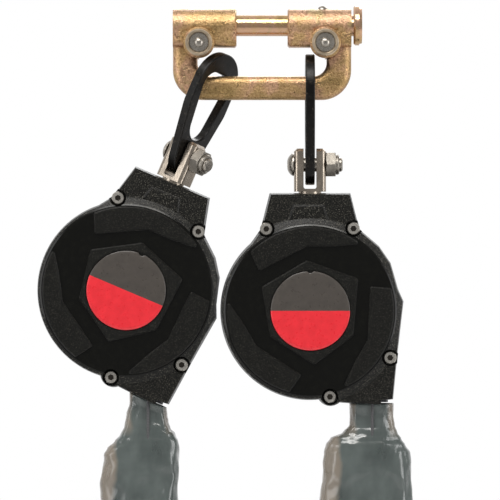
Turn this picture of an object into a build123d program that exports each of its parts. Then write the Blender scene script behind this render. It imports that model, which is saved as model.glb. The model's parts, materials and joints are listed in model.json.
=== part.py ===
"""Twin-leg self retracting lifeline: a forged harness connector with a sliding lock pin, and two
identical legs, each an anchor link, a swivel clevis, a retractor housing, a webbing line in an energy
absorber pack, and a double locking scaffold hook.

Millimetres, +Z up, front towards -Y. The origin is the middle of the lock pin, where the harness
straps hang the assembly. Each leg is drawn in its own frame, whose origin is its drum's axis and
whose Z runs up the leg, and is then placed on the connector's lower bar.
"""
import os
from math import cos, pi, radians, sin, sqrt, tan

from build123d import *

os.makedirs("parts", exist_ok=True)

# ---------------------------------------------------------------- fits and clearances
RUNNING = 0.1        # radial play of a shaft in its hole
SEAT = 0.02          # play of pieces that are screwed or pressed together
GAP = 0.3            # air between pieces that move past each other
LINK_GAP = 0.65      # air between a link's eye and the bar it hangs on

# ---------------------------------------------------------------- harness connector
PIN_R = 5.9
PIN_SPAN = 28.4                  # bare pin between the two bosses
BOSS_LENGTH = 35.3
BOSS_TOP_R = 9.3
BOSS_DROP = 12.2                 # flat underside of a boss below the pin
BOSS_DEPTH = 17.4
BOSS_CORNER_R = 3.0
BOSS_CHAMFER = 0.9
BOSS_END_WALL = 3.4              # metal left at the closed end of the left boss
FRAME_DROP = 41.4                # underside of the lower bar below the pin
BAR_HEIGHT = 13.2
BAR_DEPTH = 10.4
BAR_EDGE_R = 4.1
UPRIGHT_WIDTH = 13.7
FRAME_OUTER_R = 16.5
FRAME_INNER_R = 7.4
PIN_TRAVEL = 58.2
PIN_END_GAP = 1.6
HEAD_GAP = 1.3                   # air between the pin's head and the right boss
HEAD_R = 11.1
HEAD_LENGTH = 4.6
HEAD_GROOVE = 0.7
STOP_X = 33.7                    # stop screw that keeps the pin captive
STOP_HEAD_R = 3.0
STOP_HEAD_RISE = 1.7
STOP_SINK = 0.5                  # spot face under the screw's head
STOP_SHANK_R = 1.6
STOP_REACH = 1.5                 # how far the screw's tip stands in the pin's slot

BUTTON_X = 35.0
BUTTON_DROP = 9.9
BUTTON_BOSS_R = 8.6
BUTTON_BOSS_RISE = 4.2           # stands out of the front of the boss
BUTTON_WEB_R = 6.8               # behind the boss's front, on the side where the link swings
BUTTON_BORE_DEPTH = 20.6
BUTTON_HEAD_DEPTH = 5.0          # depth of the part of the bore that takes the pressed head
BUSH_R = 7.5
BUSH_RISE = 1.0
BUSH_DEPTH = 3.2
BUTTON_R = 5.5
BUTTON_SINK = 0.5                # button face behind the bush face
BUTTON_HEAD = 5.2
BUTTON_DOME_R = 2.7
BUTTON_DOME_RISE = 1.3
BUTTON_STEM_R = 2.9
BUTTON_STEM = 9.4
BUTTON_TAIL_R = 1.3
BUTTON_TRAVEL = 2.5
SPRING_WIRE_R = 0.35
SPRING_R = 2.2
SPRING_TURNS = 4

# ---------------------------------------------------------------- anchor link
LINK_THICKNESS = 5.2
LINK_WIDTH = 37.6
LINK_STRAND = 5.4
LINK_CROWN = 11.6
LINK_FOOT_R = 11.4
LINK_EDGE = 0.8
EYE_CORNER_R = 9.0               # corners of the eye's top
EYE_FOOT_R = 9.5
EYE_FOOT_RISE = 10.1             # bottom of the eye above the bolt
LINK_REACH = 49.7                # bolt to the top of the eye

# ---------------------------------------------------------------- swivel clevis
BOLT_RISE = 81.0                 # bolt above the drum axis
CLEVIS_HALF = 8.9                # flat sides of the fork, where the bolt's head and nut sit
CLEVIS_DEPTH = 13.0
CLEVIS_CORNER_R = 2.6
CLEVIS_LIFT = 0.8                # foot of the fork above the top of the housing
CLEVIS_TOP = 8.8                 # prong tips above the bolt
CLEVIS_TIP_CHAMFER = 1.6
SLOT_WIDTH = 7.2
SLOT_DROP = 13.5                 # floor of the slot below the bolt
NECK_R = 6.4
STEM_R = 5.0
STEM_LENGTH = 15.6
BOLT_R = 4.0
BOLT_HEAD_R = 6.3
BOLT_HEAD_HEIGHT = 3.7
NUT_FLATS = 13.0
NUT_HEIGHT = 5.4
NUT_COLLAR_R = 5.6
NUT_COLLAR = 2.0
BOLT_END = 1.8
SWIVEL_NUT_FLATS = 14.2
SWIVEL_NUT_HEIGHT = 6.4

# ---------------------------------------------------------------- drum, webbing and load frame
WEB_WIDTH = 20.0
WEB_THICKNESS = 1.6
WOUND_R = 34.4                   # outside of the wound webbing, and where the line leaves it
HUB_R = 17.0
HUB_BORE_R = 15.0
FLANGE_R = 37.0
FLANGE_THICKNESS = 1.2
AXLE_R = 4.5
AXLE_BUSH_R = 6.5
PAWL_THICKNESS = 2.0
PAWL_PIVOT_R = 18.4
PAWL_PIN_R = 1.8
PAWL_SWING = 14.0                # degrees from folded in to full engagement
RATCHET_TOOTH_R = 31.6
RATCHET_ROOT_R = 34.2
RATCHET_RIM_R = 36.0
RATCHET_TEETH = 12
RATCHET_PHASE = 20.0             # degrees to the first tooth's locking face
LEG_PLATE = 1.8
LEG_WIDTH = 24.0
YOKE_TOP = 54.0
YOKE_PLATE = 6.0
YOKE_HALF_DEPTH = 10.4
YOKE_FRONT_SHOULDER = 40.0
YOKE_REAR_SHOULDER = 37.4
YOKE_JOG = 2.5
YOKE_STEP = 1.1                  # inside of the jog below its outside
SPRING_STRIP = 0.55
SPRING_COILS = 5
SPRING_HALF_WIDTH = 8.0

# ---------------------------------------------------------------- housing
BODY_R = 49.8
WALL = 2.1
DRAFT = 4.0                      # degrees of draw on the front side walls
BLOCK_DEPTH = 13.2               # front of the lower blocks ahead of the parting plane
CROWN_DEPTH = 16.0               # front of the round body
CROWN_R = 48.9
CROWN_FOOT_R = 52.0
PANEL_RISE = 2.0
PANEL_INSET = 2.5
CROWN_EDGE_R = 2.0
REAR_DEPTH = 18.4
REAR_STEP = 5.4
REAR_CROWN_R = 44.5
REAR_FOOT_R = 48.8
REAR_DRAFT = 7.0
PANEL_BEVEL = 0.8
SIDE_WALL = 2.7
BLOCK_TOP = 65.2
BLOCK_TOP_HALF = 22.4
BLOCK_FOOT_HALF = 27.5
BLOCK_FOOT = 45.0
SCREW_R = 2.0
SCREW_HEAD_R = 3.5
SCREW_HEAD = 4.0
SCREW_NOTCH_R = 4.6
SCREW_LEDGE = 8.6                # depth of the screw seats ahead of the parting plane
SCREW_REACH = 8.5
SCREW_POINTS = [(-24.3, 45.2), (23.9, 45.4), (44.2, -26.0), (10.9, -47.6)]
LABEL_R = 22.5
LABEL_RECESS = 0.8
HUB_CORNERS = [(94, 28.0), (34, 32.0), (-30, 27.6), (-86, 30.0), (-147, 26.5), (154, 30.0)]
EXIT_DROP = 50.6                 # underside of the housing round the webbing exit
EXIT_HALF_WIDTH = 8.8
EXIT_HALF_DEPTH = 11.0
GUIDE_HEIGHT = 9.0

# ---------------------------------------------------------------- line, absorber and hook
RUN_END = 4.0                    # where the line inside the housing ends above the exit's underside
GUIDE_SLOT = 5.2
TAIL_RISE = 2.0
PACK_SHIFT = -3.5                # the absorber hangs a little to one side of the exit
PACK_WIDTH = 33.0
PACK_DEPTH = 19.0
PACK_LENGTH = 128.0
PACK_DROP = 26.0                 # top of the folded absorber below the exit
SLEEVE_WALL = 0.9
SLEEVE_NECK_WIDTH = 25.0
SLEEVE_NECK_DEPTH = 23.0
SLEEVE_WIDTH = 46.0
SLEEVE_DEPTH = 25.0
SLEEVE_SHOULDER = 24.0
SLEEVE_LENGTH = 160.0
NECK_GAP = 2.7                   # neck below the underside of the housing
LOOP_GAP = 0.5
LOOP_SAG = 5.0
HOOK_TOP = -166.0                # top of the hook's head below the exit
HOOK_THICKNESS = 12.0
HOOK_EDGE = 1.6
HOOK_EYE_HALF = 13.0
HOOK_EYE_RISE = 120.0            # top of the webbing eye above the seat's centre
HOOK_EYE_HEIGHT = 12.0
HOOK_BAR = 15.0
HOOK_SEAT_R = 30.0
HOOK_TIP_RISE = 17.0
REBATE = 7.5                     # step in the hook's tip that the gate closes into
REBATE_RISE = 2.0
HOOK_HEAD = HOOK_EYE_RISE + 13.0  # top of the head above the seat's centre
GATE_PIVOT = (-18.0, 88.0)
GATE_HALF = 7.6
GATE_FOOT = 4.6                  # foot of the gate above the seat's centre
LOCK_PIVOT = (24.0, 102.0)
RIVET_R = 3.0
LOCK_RIVET_R = 2.5
RIVET_HEAD = 1.4

# ---------------------------------------------------------------- how the legs hang
LEGS = {
    "right": {"x": 26.6, "lean": 0.0, "turn": 0.0},
    "left": {"x": -27.4, "lean": 23.0, "turn": 32.0},
}

# ---------------------------------------------------------------- worked out
BAR_Z = BAR_HEIGHT / 2 - FRAME_DROP
BOSS_IN = PIN_SPAN / 2
BOSS_OUT = BOSS_IN + BOSS_LENGTH
EYE_R = LINK_WIDTH / 2 - LINK_STRAND
EYE_TOP = BOLT_RISE + LINK_REACH
EXIT_X = WOUND_R
WEB_HALF = WEB_WIDTH / 2 + 0.2
FLANGE_OUT = WEB_HALF + FLANGE_THICKNESS


def hang_gap(lean, turn):
    """Top of the link's eye above the bar's middle, for a leg that leans and a link that is turned."""
    lean, turn = radians(lean), radians(turn)
    side = BAR_DEPTH / 2 / cos(turn) + LINK_THICKNESS / 2 * tan(turn) - BAR_EDGE_R
    side = max(0, side - (EYE_R - EYE_CORNER_R))
    over = BAR_HEIGHT / 2 - BAR_EDGE_R + EYE_CORNER_R
    over -= sqrt((EYE_CORNER_R - BAR_EDGE_R - LINK_GAP) ** 2 - side ** 2)
    return (over + LINK_THICKNESS / 2 * sin(lean) * cos(turn)) / cos(lean)


def drum_centre(leg):
    """Where the leg's drum axis lies below the bar."""
    drop = EYE_TOP - hang_gap(leg["lean"], leg["turn"])
    lean = radians(leg["lean"])
    return (leg["x"] - drop * sin(lean), 0, BAR_Z - drop * cos(lean))


def leg_place(leg):
    return Location(drum_centre(leg), (0, leg["lean"], 0))


def turned_place(leg):
    """The link, clevis and bolts face sideways on the leaning leg."""
    return leg_place(leg) * Location((0, 0, 0), (0, 0, -leg["turn"]))


def exit_point(leg):
    return (leg_place(leg) * Location((EXIT_X, 0, -EXIT_DROP))).position


def line_place(leg):
    """The line hangs plumb below the exit, whatever the housing's lean."""
    return Location(tuple(exit_point(leg)))


def polar(angle, radius):
    return (radius * cos(radians(angle)), radius * sin(radians(angle)))


def save(solid, name, place=Location()):
    placed = solid.moved(place)
    placed.label = name
    export_step(placed, f"parts/{name}.step")
    print(f"{name:24s} {placed.volume:10.1f} mm3  {len(placed.solids())} solid(s)")


# ================================================================ harness connector
def connector_frame():
    inner_x = BOSS_OUT - UPRIGHT_WIDTH
    bar_top = BAR_HEIGHT - FRAME_DROP
    with BuildPart() as frame:
        with BuildSketch(Plane.XZ):
            with Locations((0, -FRAME_DROP)):
                Rectangle(2 * BOSS_OUT, FRAME_DROP, align=(Align.CENTER, Align.MIN))
            with Locations((0, bar_top)):
                Rectangle(2 * inner_x, -bar_top, align=(Align.CENTER, Align.MIN), mode=Mode.SUBTRACT)
        extrude(amount=BAR_DEPTH / 2, both=True)
        corners = frame.edges().filter_by(Axis.Y)
        fillet(corners.group_by(Axis.Z)[0], FRAME_OUTER_R)
        corners = frame.edges().filter_by(Axis.Y)
        fillet(corners.filter_by_position(Axis.Z, bar_top - 1, bar_top + 1), FRAME_INNER_R)
        rims = frame.faces().filter_by(Axis.Y).edges()
        fillet([edge for edge in rims if edge.center().Z < -0.01], BAR_EDGE_R)
        for start in (-BOSS_OUT, BOSS_IN):
            with BuildSketch(Plane.YZ.offset(start)) as section:
                with Locations((0, -BOSS_DROP)):
                    Rectangle(BOSS_DEPTH, BOSS_DROP, align=(Align.CENTER, Align.MIN))
                fillet(section.vertices().group_by(Axis.Z)[0], BOSS_CORNER_R)
                Circle(BOSS_TOP_R)
            extrude(amount=BOSS_LENGTH)
        proud = BOSS_DEPTH / 2 + BUTTON_BOSS_RISE
        for side in (-1, 1):
            x = side * BUTTON_X
            with BuildSketch(Plane.XZ.offset(proud)):
                with Locations((x, -BUTTON_DROP)):
                    Circle(BUTTON_BOSS_R)
            extrude(amount=-BUTTON_BOSS_RISE)
            # behind the front, a full round only on the outer side
            with BuildSketch(Plane.XZ.offset(BOSS_DEPTH / 2)):
                with Locations((x, -BUTTON_DROP)):
                    Circle(BUTTON_BOSS_R)
                with Locations((x + side * BUTTON_BOSS_R, -BUTTON_DROP)):
                    Rectangle(2 * BUTTON_BOSS_R, 2 * BUTTON_BOSS_R, mode=Mode.INTERSECT)
                with Locations((x, -BUTTON_DROP)):
                    Circle(BUTTON_WEB_R)
            extrude(amount=-BOSS_DEPTH)
        lips = frame.edges().filter_by(GeomType.CIRCLE).group_by(Axis.Y)[0]
        chamfer(lips, BOSS_CHAMFER)
        ends = frame.faces().filter_by(Axis.X).filter_by(
            lambda face: abs(abs(face.center().X) - BOSS_IN) < 0.1
        )
        chamfer(ends.edges(), BOSS_CHAMFER)
        # pin bore, open at the right and closed at the left
        with BuildSketch(Plane.YZ.offset(BOSS_END_WALL - BOSS_OUT)):
            Circle(PIN_R + RUNNING)
        extrude(amount=2 * BOSS_OUT, mode=Mode.SUBTRACT)
        # a bush seat and a blind bore for each button
        for x in (-BUTTON_X, BUTTON_X):
            with BuildSketch(Plane.XZ.offset(proud)):
                with Locations((x, -BUTTON_DROP)):
                    Circle(BUSH_R)
            extrude(amount=-BUSH_DEPTH, mode=Mode.SUBTRACT)
            for radius, depth in ((BUTTON_R + GAP, BUTTON_HEAD_DEPTH), (BUTTON_STEM_R + 0.4, BUTTON_BORE_DEPTH)):
                with BuildSketch(Plane.XZ.offset(proud)):
                    with Locations((x, -BUTTON_DROP)):
                        Circle(radius)
                extrude(amount=-depth, mode=Mode.SUBTRACT)
        # spot face and hole for the stop screw in the top of the right boss
        for radius, low in ((STOP_HEAD_R + RUNNING, BOSS_TOP_R - STOP_SINK), (STOP_SHANK_R + SEAT, PIN_R / 2)):
            with Locations((STOP_X, 0, low)):
                Cylinder(radius, BOSS_TOP_R, align=(Align.CENTER, Align.CENTER, Align.MIN), mode=Mode.SUBTRACT)
    return frame.part


def lock_pin():
    tip = BOSS_END_WALL - BOSS_OUT + PIN_END_GAP
    head = BOSS_OUT + HEAD_GAP
    slot_floor = PIN_R - STOP_REACH - GAP
    with BuildPart() as pin:
        with BuildSketch(Plane.YZ.offset(tip)):
            Circle(PIN_R)
        extrude(amount=head - tip)
        chamfer(pin.faces().sort_by(Axis.X)[0].edges(), 1.0)
        with BuildSketch(Plane.XY):
            with BuildLine():
                Polyline((head, 0), (head, HEAD_R - 0.9), (head + 0.9, HEAD_R),
                         (head + HEAD_LENGTH - 1.5, HEAD_R), (head + HEAD_LENGTH - 1.5, HEAD_R - HEAD_GROOVE),
                         (head + HEAD_LENGTH, HEAD_R - HEAD_GROOVE - 0.4), (head + HEAD_LENGTH, 0), close=True)
            make_face()
        revolve(axis=Axis.X)
        # slot on top for the stop screw
        with BuildSketch(Plane.XY.offset(slot_floor)):
            with Locations((STOP_X - PIN_TRAVEL / 2, 0)):
                SlotCenterToCenter(PIN_TRAVEL, 2 * (STOP_SHANK_R + GAP))
        extrude(amount=PIN_R, mode=Mode.SUBTRACT)
        # lock grooves that the two buttons catch
        for x in (-BUTTON_X, BUTTON_X):
            with BuildSketch(Plane.XZ.offset(-PIN_R)):
                with Locations((x, -BUTTON_DROP)):
                    Circle(BUTTON_R + GAP)
            extrude(amount=2 * PIN_R, mode=Mode.SUBTRACT)
    return pin.part


def stop_screw():
    with BuildPart() as screw:
        with BuildSketch(Plane.XZ):
            with BuildLine():
                tip = PIN_R - STOP_REACH
                seat = BOSS_TOP_R - STOP_SINK
                Polyline((STOP_X, tip), (STOP_X + STOP_SHANK_R, tip), (STOP_X + STOP_SHANK_R, seat),
                         (STOP_X + STOP_HEAD_R, seat))
                crown = BOSS_TOP_R + STOP_HEAD_RISE
                ThreePointArc((STOP_X + STOP_HEAD_R, seat),
                              (STOP_X + STOP_HEAD_R * 0.75, seat + STOP_HEAD_RISE * 0.75),
                              (STOP_X + STOP_HEAD_R * 0.25, crown))
                Polyline((STOP_X + STOP_HEAD_R * 0.25, crown), (STOP_X, crown), (STOP_X, tip))
            make_face()
        revolve(axis=Axis((STOP_X, 0, 0), (0, 0, 1)))
    return screw.part


def button_bush(x):
    face = BOSS_DEPTH / 2 + BUTTON_BOSS_RISE + BUSH_RISE
    with BuildPart() as bush:
        with BuildSketch(Plane.XZ.offset(face)):
            with Locations((x, -BUTTON_DROP)):
                Circle(BUSH_R)
                Circle(BUTTON_R + RUNNING, mode=Mode.SUBTRACT)
        extrude(amount=-(BUSH_RISE + BUSH_DEPTH))
        chamfer(bush.edges().filter_by(GeomType.CIRCLE).group_by(Axis.Y)[0], 0.5)
    return bush.part


def lock_button(x):
    face = BOSS_DEPTH / 2 + BUTTON_BOSS_RISE + BUSH_RISE - BUTTON_SINK
    axis = Axis((x, 0, -BUTTON_DROP), (0, 1, 0))
    with BuildPart() as button:
        with BuildSketch(Plane.XY.offset(-BUTTON_DROP)):
            with BuildLine():
                back = -face + BUTTON_HEAD - BUTTON_TRAVEL
                Polyline((x, -face), (x + BUTTON_R - 0.4, -face), (x + BUTTON_R, -face + 0.4), (x + BUTTON_R, back),
                         (x + BUTTON_STEM_R, back), (x + BUTTON_STEM_R, back + BUTTON_STEM),
                         (x + BUTTON_TAIL_R, back + BUTTON_STEM), (x + BUTTON_TAIL_R, back + BUTTON_STEM + 2.5),
                         (x, back + BUTTON_STEM + 2.5), close=True)
            make_face()
            with BuildLine():
                ThreePointArc((x, -face - BUTTON_DOME_RISE), (x + BUTTON_DOME_R * 0.71, -face - BUTTON_DOME_RISE * 0.6),
                              (x + BUTTON_DOME_R, -face))
                Polyline((x + BUTTON_DOME_R, -face), (x, -face), (x, -face - BUTTON_DOME_RISE))
            make_face()
        revolve(axis=axis)
    return button.part


def button_spring(x):
    front = BOSS_DEPTH / 2 + BUTTON_BOSS_RISE
    floor = -front + BUTTON_BORE_DEPTH
    height = 4.6
    start = Vector(x, floor - height - SPRING_WIRE_R, -BUTTON_DROP)
    with BuildPart() as spring:
        with BuildLine():
            coil = Helix(height / SPRING_TURNS, height, SPRING_R, center=start, direction=(0, 1, 0))
        with BuildSketch(Plane(coil @ 0, z_dir=coil % 0)):
            RegularPolygon(SPRING_WIRE_R, 4)
        sweep(is_frenet=True)
    return spring.part


# ================================================================ link, clevis and bolts (leg frame)
def anchor_link():
    crown_z = EYE_TOP + LINK_CROWN - LINK_WIDTH / 2
    eye_z = EYE_TOP - EYE_CORNER_R
    with BuildPart() as link:
        with BuildSketch(Plane.YZ) as outline:
            with Locations((0, crown_z)):
                Circle(LINK_WIDTH / 2)
            with Locations((0, crown_z - LINK_CROWN)):
                Circle(LINK_WIDTH / 2)
            with Locations((0, BOLT_RISE)):
                Circle(LINK_FOOT_R)
            make_hull()
            with BuildSketch(Plane.YZ, mode=Mode.SUBTRACT):
                with Locations((EYE_CORNER_R - EYE_R, eye_z), (EYE_R - EYE_CORNER_R, eye_z)):
                    Circle(EYE_CORNER_R)
                with Locations((0, BOLT_RISE + EYE_FOOT_RISE + EYE_FOOT_R)):
                    Circle(EYE_FOOT_R)
                make_hull()
        extrude(amount=LINK_THICKNESS / 2, both=True)
        rims = link.faces().filter_by(Axis.X).edges()
        fillet(rims, LINK_EDGE)
        with BuildSketch(Plane.YZ):
            with Locations((0, BOLT_RISE)):
                Circle(BOLT_R + RUNNING)
        extrude(amount=LINK_THICKNESS, both=True, mode=Mode.SUBTRACT)
    return link.part


def swivel_clevis():
    """A fork with flat sides for the bolt, on a round neck and a stem that turn in the housing."""
    floor = BOLT_RISE - SLOT_DROP
    foot = BLOCK_TOP + CLEVIS_LIFT
    with BuildPart() as clevis:
        with BuildSketch(Plane.XY.offset(foot)):
            RectangleRounded(2 * CLEVIS_HALF, CLEVIS_DEPTH, CLEVIS_CORNER_R)
        extrude(amount=BOLT_RISE + CLEVIS_TOP - foot)
        chamfer(clevis.faces().sort_by(Axis.Z)[-1].edges(), CLEVIS_TIP_CHAMFER)
        with BuildSketch(Plane.XZ):
            with Locations((0, floor)):
                Rectangle(SLOT_WIDTH, 2 * BOLT_RISE, align=(Align.CENTER, Align.MIN))
        extrude(amount=2 * CLEVIS_HALF, both=True, mode=Mode.SUBTRACT)
        fillet(clevis.edges().filter_by(Axis.Y).filter_by_position(Axis.Z, floor - 0.1, floor + 0.1), 1.2)
        with BuildSketch(Plane.XY.offset(foot)):
            Circle(NECK_R)
        extrude(amount=YOKE_TOP - foot)
        with BuildSketch(Plane.XY.offset(YOKE_TOP)):
            Circle(STEM_R)
        extrude(amount=-STEM_LENGTH)
        chamfer(clevis.faces().sort_by(Axis.Z)[0].edges(), 0.8)
        with BuildSketch(Plane.YZ):
            with Locations((0, BOLT_RISE)):
                Circle(BOLT_R + SEAT)
        extrude(amount=2 * CLEVIS_HALF, both=True, mode=Mode.SUBTRACT)
    return clevis.part


def clevis_bolt():
    tip = CLEVIS_HALF + NUT_HEIGHT + NUT_COLLAR + BOLT_END
    with BuildPart() as bolt:
        with BuildSketch(Plane.XZ):
            with BuildLine():
                head = -CLEVIS_HALF - BOLT_HEAD_HEIGHT
                Polyline((tip, BOLT_RISE), (tip, BOLT_RISE + BOLT_R - 0.8), (tip - 0.8, BOLT_RISE + BOLT_R),
                         (-CLEVIS_HALF, BOLT_RISE + BOLT_R), (-CLEVIS_HALF, BOLT_RISE + BOLT_HEAD_R),
                         (-CLEVIS_HALF - 0.8, BOLT_RISE + BOLT_HEAD_R))
                ThreePointArc((-CLEVIS_HALF - 0.8, BOLT_RISE + BOLT_HEAD_R),
                              (head + 0.75, BOLT_RISE + BOLT_HEAD_R * 0.66), (head, BOLT_RISE + 2.2))
                Polyline((head, BOLT_RISE + 2.2), (head, BOLT_RISE), (tip, BOLT_RISE))
            make_face()
        revolve(axis=Axis((0, 0, BOLT_RISE), (1, 0, 0)))
        with BuildSketch(Plane.YZ.offset(-CLEVIS_HALF - BOLT_HEAD_HEIGHT)):
            with Locations((0, BOLT_RISE)):
                RegularPolygon(2.2, 6, major_radius=False)
        extrude(amount=2.2, mode=Mode.SUBTRACT)
    return bolt.part


def clevis_nut():
    with BuildPart() as nut:
        with BuildSketch(Plane.YZ.offset(CLEVIS_HALF)):
            with Locations((0, BOLT_RISE)):
                RegularPolygon(NUT_FLATS / 2, 6, major_radius=False)
        extrude(amount=NUT_HEIGHT)
        with BuildSketch(Plane.XZ):
            with BuildLine():
                corner = NUT_FLATS / 2 / cos(pi / 6)
                end = CLEVIS_HALF + NUT_HEIGHT
                Polyline((CLEVIS_HALF, BOLT_RISE), (CLEVIS_HALF, BOLT_RISE + NUT_FLATS / 2),
                         (CLEVIS_HALF + 0.6, BOLT_RISE + corner), (end - 0.6, BOLT_RISE + corner),
                         (end, BOLT_RISE + NUT_FLATS / 2), (end, BOLT_RISE), close=True)
            make_face()
        revolve(axis=Axis((0, 0, BOLT_RISE), (1, 0, 0)), mode=Mode.INTERSECT)
        with BuildSketch(Plane.YZ.offset(CLEVIS_HALF + NUT_HEIGHT)):
            with Locations((0, BOLT_RISE)):
                Circle(NUT_COLLAR_R)
        extrude(amount=NUT_COLLAR)
        fillet(nut.faces().sort_by(Axis.X)[-1].edges(), 0.9)
        with BuildSketch(Plane.YZ.offset(CLEVIS_HALF)):
            with Locations((0, BOLT_RISE)):
                Circle(BOLT_R + SEAT)
        extrude(amount=2 * NUT_HEIGHT, mode=Mode.SUBTRACT)
    return nut.part


def swivel_nut():
    top = YOKE_TOP - YOKE_PLATE
    with BuildPart() as nut:
        with BuildSketch(Plane.XY.offset(top - RUNNING)):
            RegularPolygon(SWIVEL_NUT_FLATS / 2, 6, major_radius=False)
            Circle(STEM_R + SEAT, mode=Mode.SUBTRACT)
        extrude(amount=-SWIVEL_NUT_HEIGHT)
    return nut.part


# ================================================================ retractor (leg frame)
FRONT_LEG = -(FLANGE_OUT + GAP)
REAR_LEG = FLANGE_OUT + GAP + PAWL_THICKNESS + GAP


def load_frame():
    """Pressed steel yoke: a thick top plate for the swivel, and two plates down to the axle."""
    front_out, rear_out = FRONT_LEG - LEG_PLATE, REAR_LEG + LEG_PLATE
    with BuildPart() as frame:
        with BuildSketch(Plane.YZ):
            with BuildLine():
                Polyline((front_out, -LEG_WIDTH / 2), (front_out, YOKE_FRONT_SHOULDER),
                         (-YOKE_HALF_DEPTH, YOKE_FRONT_SHOULDER + YOKE_JOG), (-YOKE_HALF_DEPTH, YOKE_TOP),
                         (YOKE_HALF_DEPTH, YOKE_TOP), (YOKE_HALF_DEPTH, YOKE_REAR_SHOULDER + YOKE_JOG),
                         (rear_out, YOKE_REAR_SHOULDER), (rear_out, -LEG_WIDTH / 2), close=True)
            make_face()
            with BuildLine():
                Polyline((FRONT_LEG, -LEG_WIDTH / 2), (FRONT_LEG, YOKE_FRONT_SHOULDER - YOKE_STEP),
                         (LEG_PLATE - YOKE_HALF_DEPTH, YOKE_FRONT_SHOULDER - YOKE_STEP + YOKE_JOG),
                         (LEG_PLATE - YOKE_HALF_DEPTH, YOKE_TOP - YOKE_PLATE),
                         (YOKE_HALF_DEPTH - LEG_PLATE, YOKE_TOP - YOKE_PLATE),
                         (YOKE_HALF_DEPTH - LEG_PLATE, YOKE_REAR_SHOULDER - YOKE_STEP + YOKE_JOG),
                         (REAR_LEG, YOKE_REAR_SHOULDER - YOKE_STEP), (REAR_LEG, -LEG_WIDTH / 2), close=True)
            make_face(mode=Mode.SUBTRACT)
        extrude(amount=LEG_WIDTH / 2, both=True)
        feet = frame.edges().filter_by(Axis.Y).group_by(Axis.Z)[0]
        fillet(feet, LEG_WIDTH / 2 - 0.5)
        with BuildSketch(Plane.XZ):
            Circle(AXLE_R + SEAT)
        extrude(amount=2 * REAR_LEG, both=True, mode=Mode.SUBTRACT)
        with BuildSketch(Plane.XY.offset(YOKE_TOP)):
            Circle(STEM_R + RUNNING)
        extrude(amount=-2 * YOKE_PLATE, mode=Mode.SUBTRACT)
    return frame.part


def axle():
    front, rear = FRONT_LEG - LEG_PLATE, REAR_LEG + LEG_PLATE
    with BuildPart() as shaft:
        with BuildSketch(Plane.XZ.offset(-rear)):
            Circle(AXLE_R)
        extrude(amount=rear - front)
        chamfer(shaft.edges().filter_by(GeomType.CIRCLE), 0.4)
    return shaft.part


def drum():
    """Hub and two flanges; the hub is hollow for the power spring, the rear flange carries the pawls."""
    bore = AXLE_R + RUNNING
    with BuildPart() as spool:
        with BuildSketch(Plane.XY):
            with BuildLine():
                Polyline((bore, WEB_HALF), (HUB_BORE_R, WEB_HALF), (HUB_BORE_R, -FLANGE_OUT),
                         (FLANGE_R, -FLANGE_OUT), (FLANGE_R, -WEB_HALF), (HUB_R, -WEB_HALF), (HUB_R, WEB_HALF),
                         (FLANGE_R, WEB_HALF), (FLANGE_R, FLANGE_OUT), (bore, FLANGE_OUT), close=True)
            make_face()
        revolve(axis=Axis.Y)
        with BuildSketch(Plane.XZ.offset(-FLANGE_OUT)):
            with PolarLocations(PAWL_PIVOT_R, 2, start_angle=90):
                Circle(PAWL_PIN_R)
        extrude(amount=-PAWL_THICKNESS)
        with BuildSketch(Plane.XZ.offset(FLANGE_OUT)):
            with PolarLocations((HUB_R + FLANGE_R) / 2 + 1, 6):
                Circle(4.2)
        extrude(amount=-FLANGE_THICKNESS, mode=Mode.SUBTRACT)
    return spool.part


def wound_webbing():
    with BuildPart() as roll:
        with BuildSketch(Plane.XZ.offset(WEB_WIDTH / 2)):
            Circle(WOUND_R)
            Circle(HUB_R, mode=Mode.SUBTRACT)
        extrude(amount=-WEB_WIDTH)
    return roll.part


def ratchet_ring():
    pitch = 360 / RATCHET_TEETH
    with BuildPart() as ring:
        with BuildSketch(Plane.XZ.offset(-FLANGE_OUT - GAP)):
            Circle(RATCHET_RIM_R)
            with BuildLine():
                points = []
                for tooth in range(RATCHET_TEETH):
                    start = radians(RATCHET_PHASE + tooth * pitch)
                    points.append((RATCHET_TOOTH_R * cos(start), RATCHET_TOOTH_R * sin(start)))
                    points.append((RATCHET_ROOT_R * cos(start + 0.03), RATCHET_ROOT_R * sin(start + 0.03)))
                    end = start + radians(pitch * 0.55)
                    points.append((RATCHET_ROOT_R * cos(end), RATCHET_ROOT_R * sin(end)))
                Polyline(*points, close=True)
            make_face(mode=Mode.SUBTRACT)
        extrude(amount=-(PAWL_THICKNESS + GAP))
    return ring.part


def pawl(side):
    """A bent lever on a pin of the drum's rear flange, with one locking nose."""
    with BuildPart() as lever:
        with BuildSketch(Plane.XZ.offset(-FLANGE_OUT - GAP)):
            with BuildLine():
                Polyline((-4.2, PAWL_PIVOT_R - 1.5), (-2.5, PAWL_PIVOT_R + 4.2), (8.0, PAWL_PIVOT_R + 6.8),
                         (18.6, PAWL_PIVOT_R + 6.6), (20.6, PAWL_PIVOT_R + 3.4), (14.0, PAWL_PIVOT_R + 1.4),
                         (6.0, PAWL_PIVOT_R - 3.6), (-2.0, PAWL_PIVOT_R - 4.4), close=True)
            make_face()
            with Locations((0, PAWL_PIVOT_R)):
                Circle(PAWL_PIN_R + RUNNING, mode=Mode.SUBTRACT)
        extrude(amount=-(PAWL_THICKNESS - GAP))
    return lever.part if side > 0 else lever.part.rotate(Axis.Y, 180)


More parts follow.
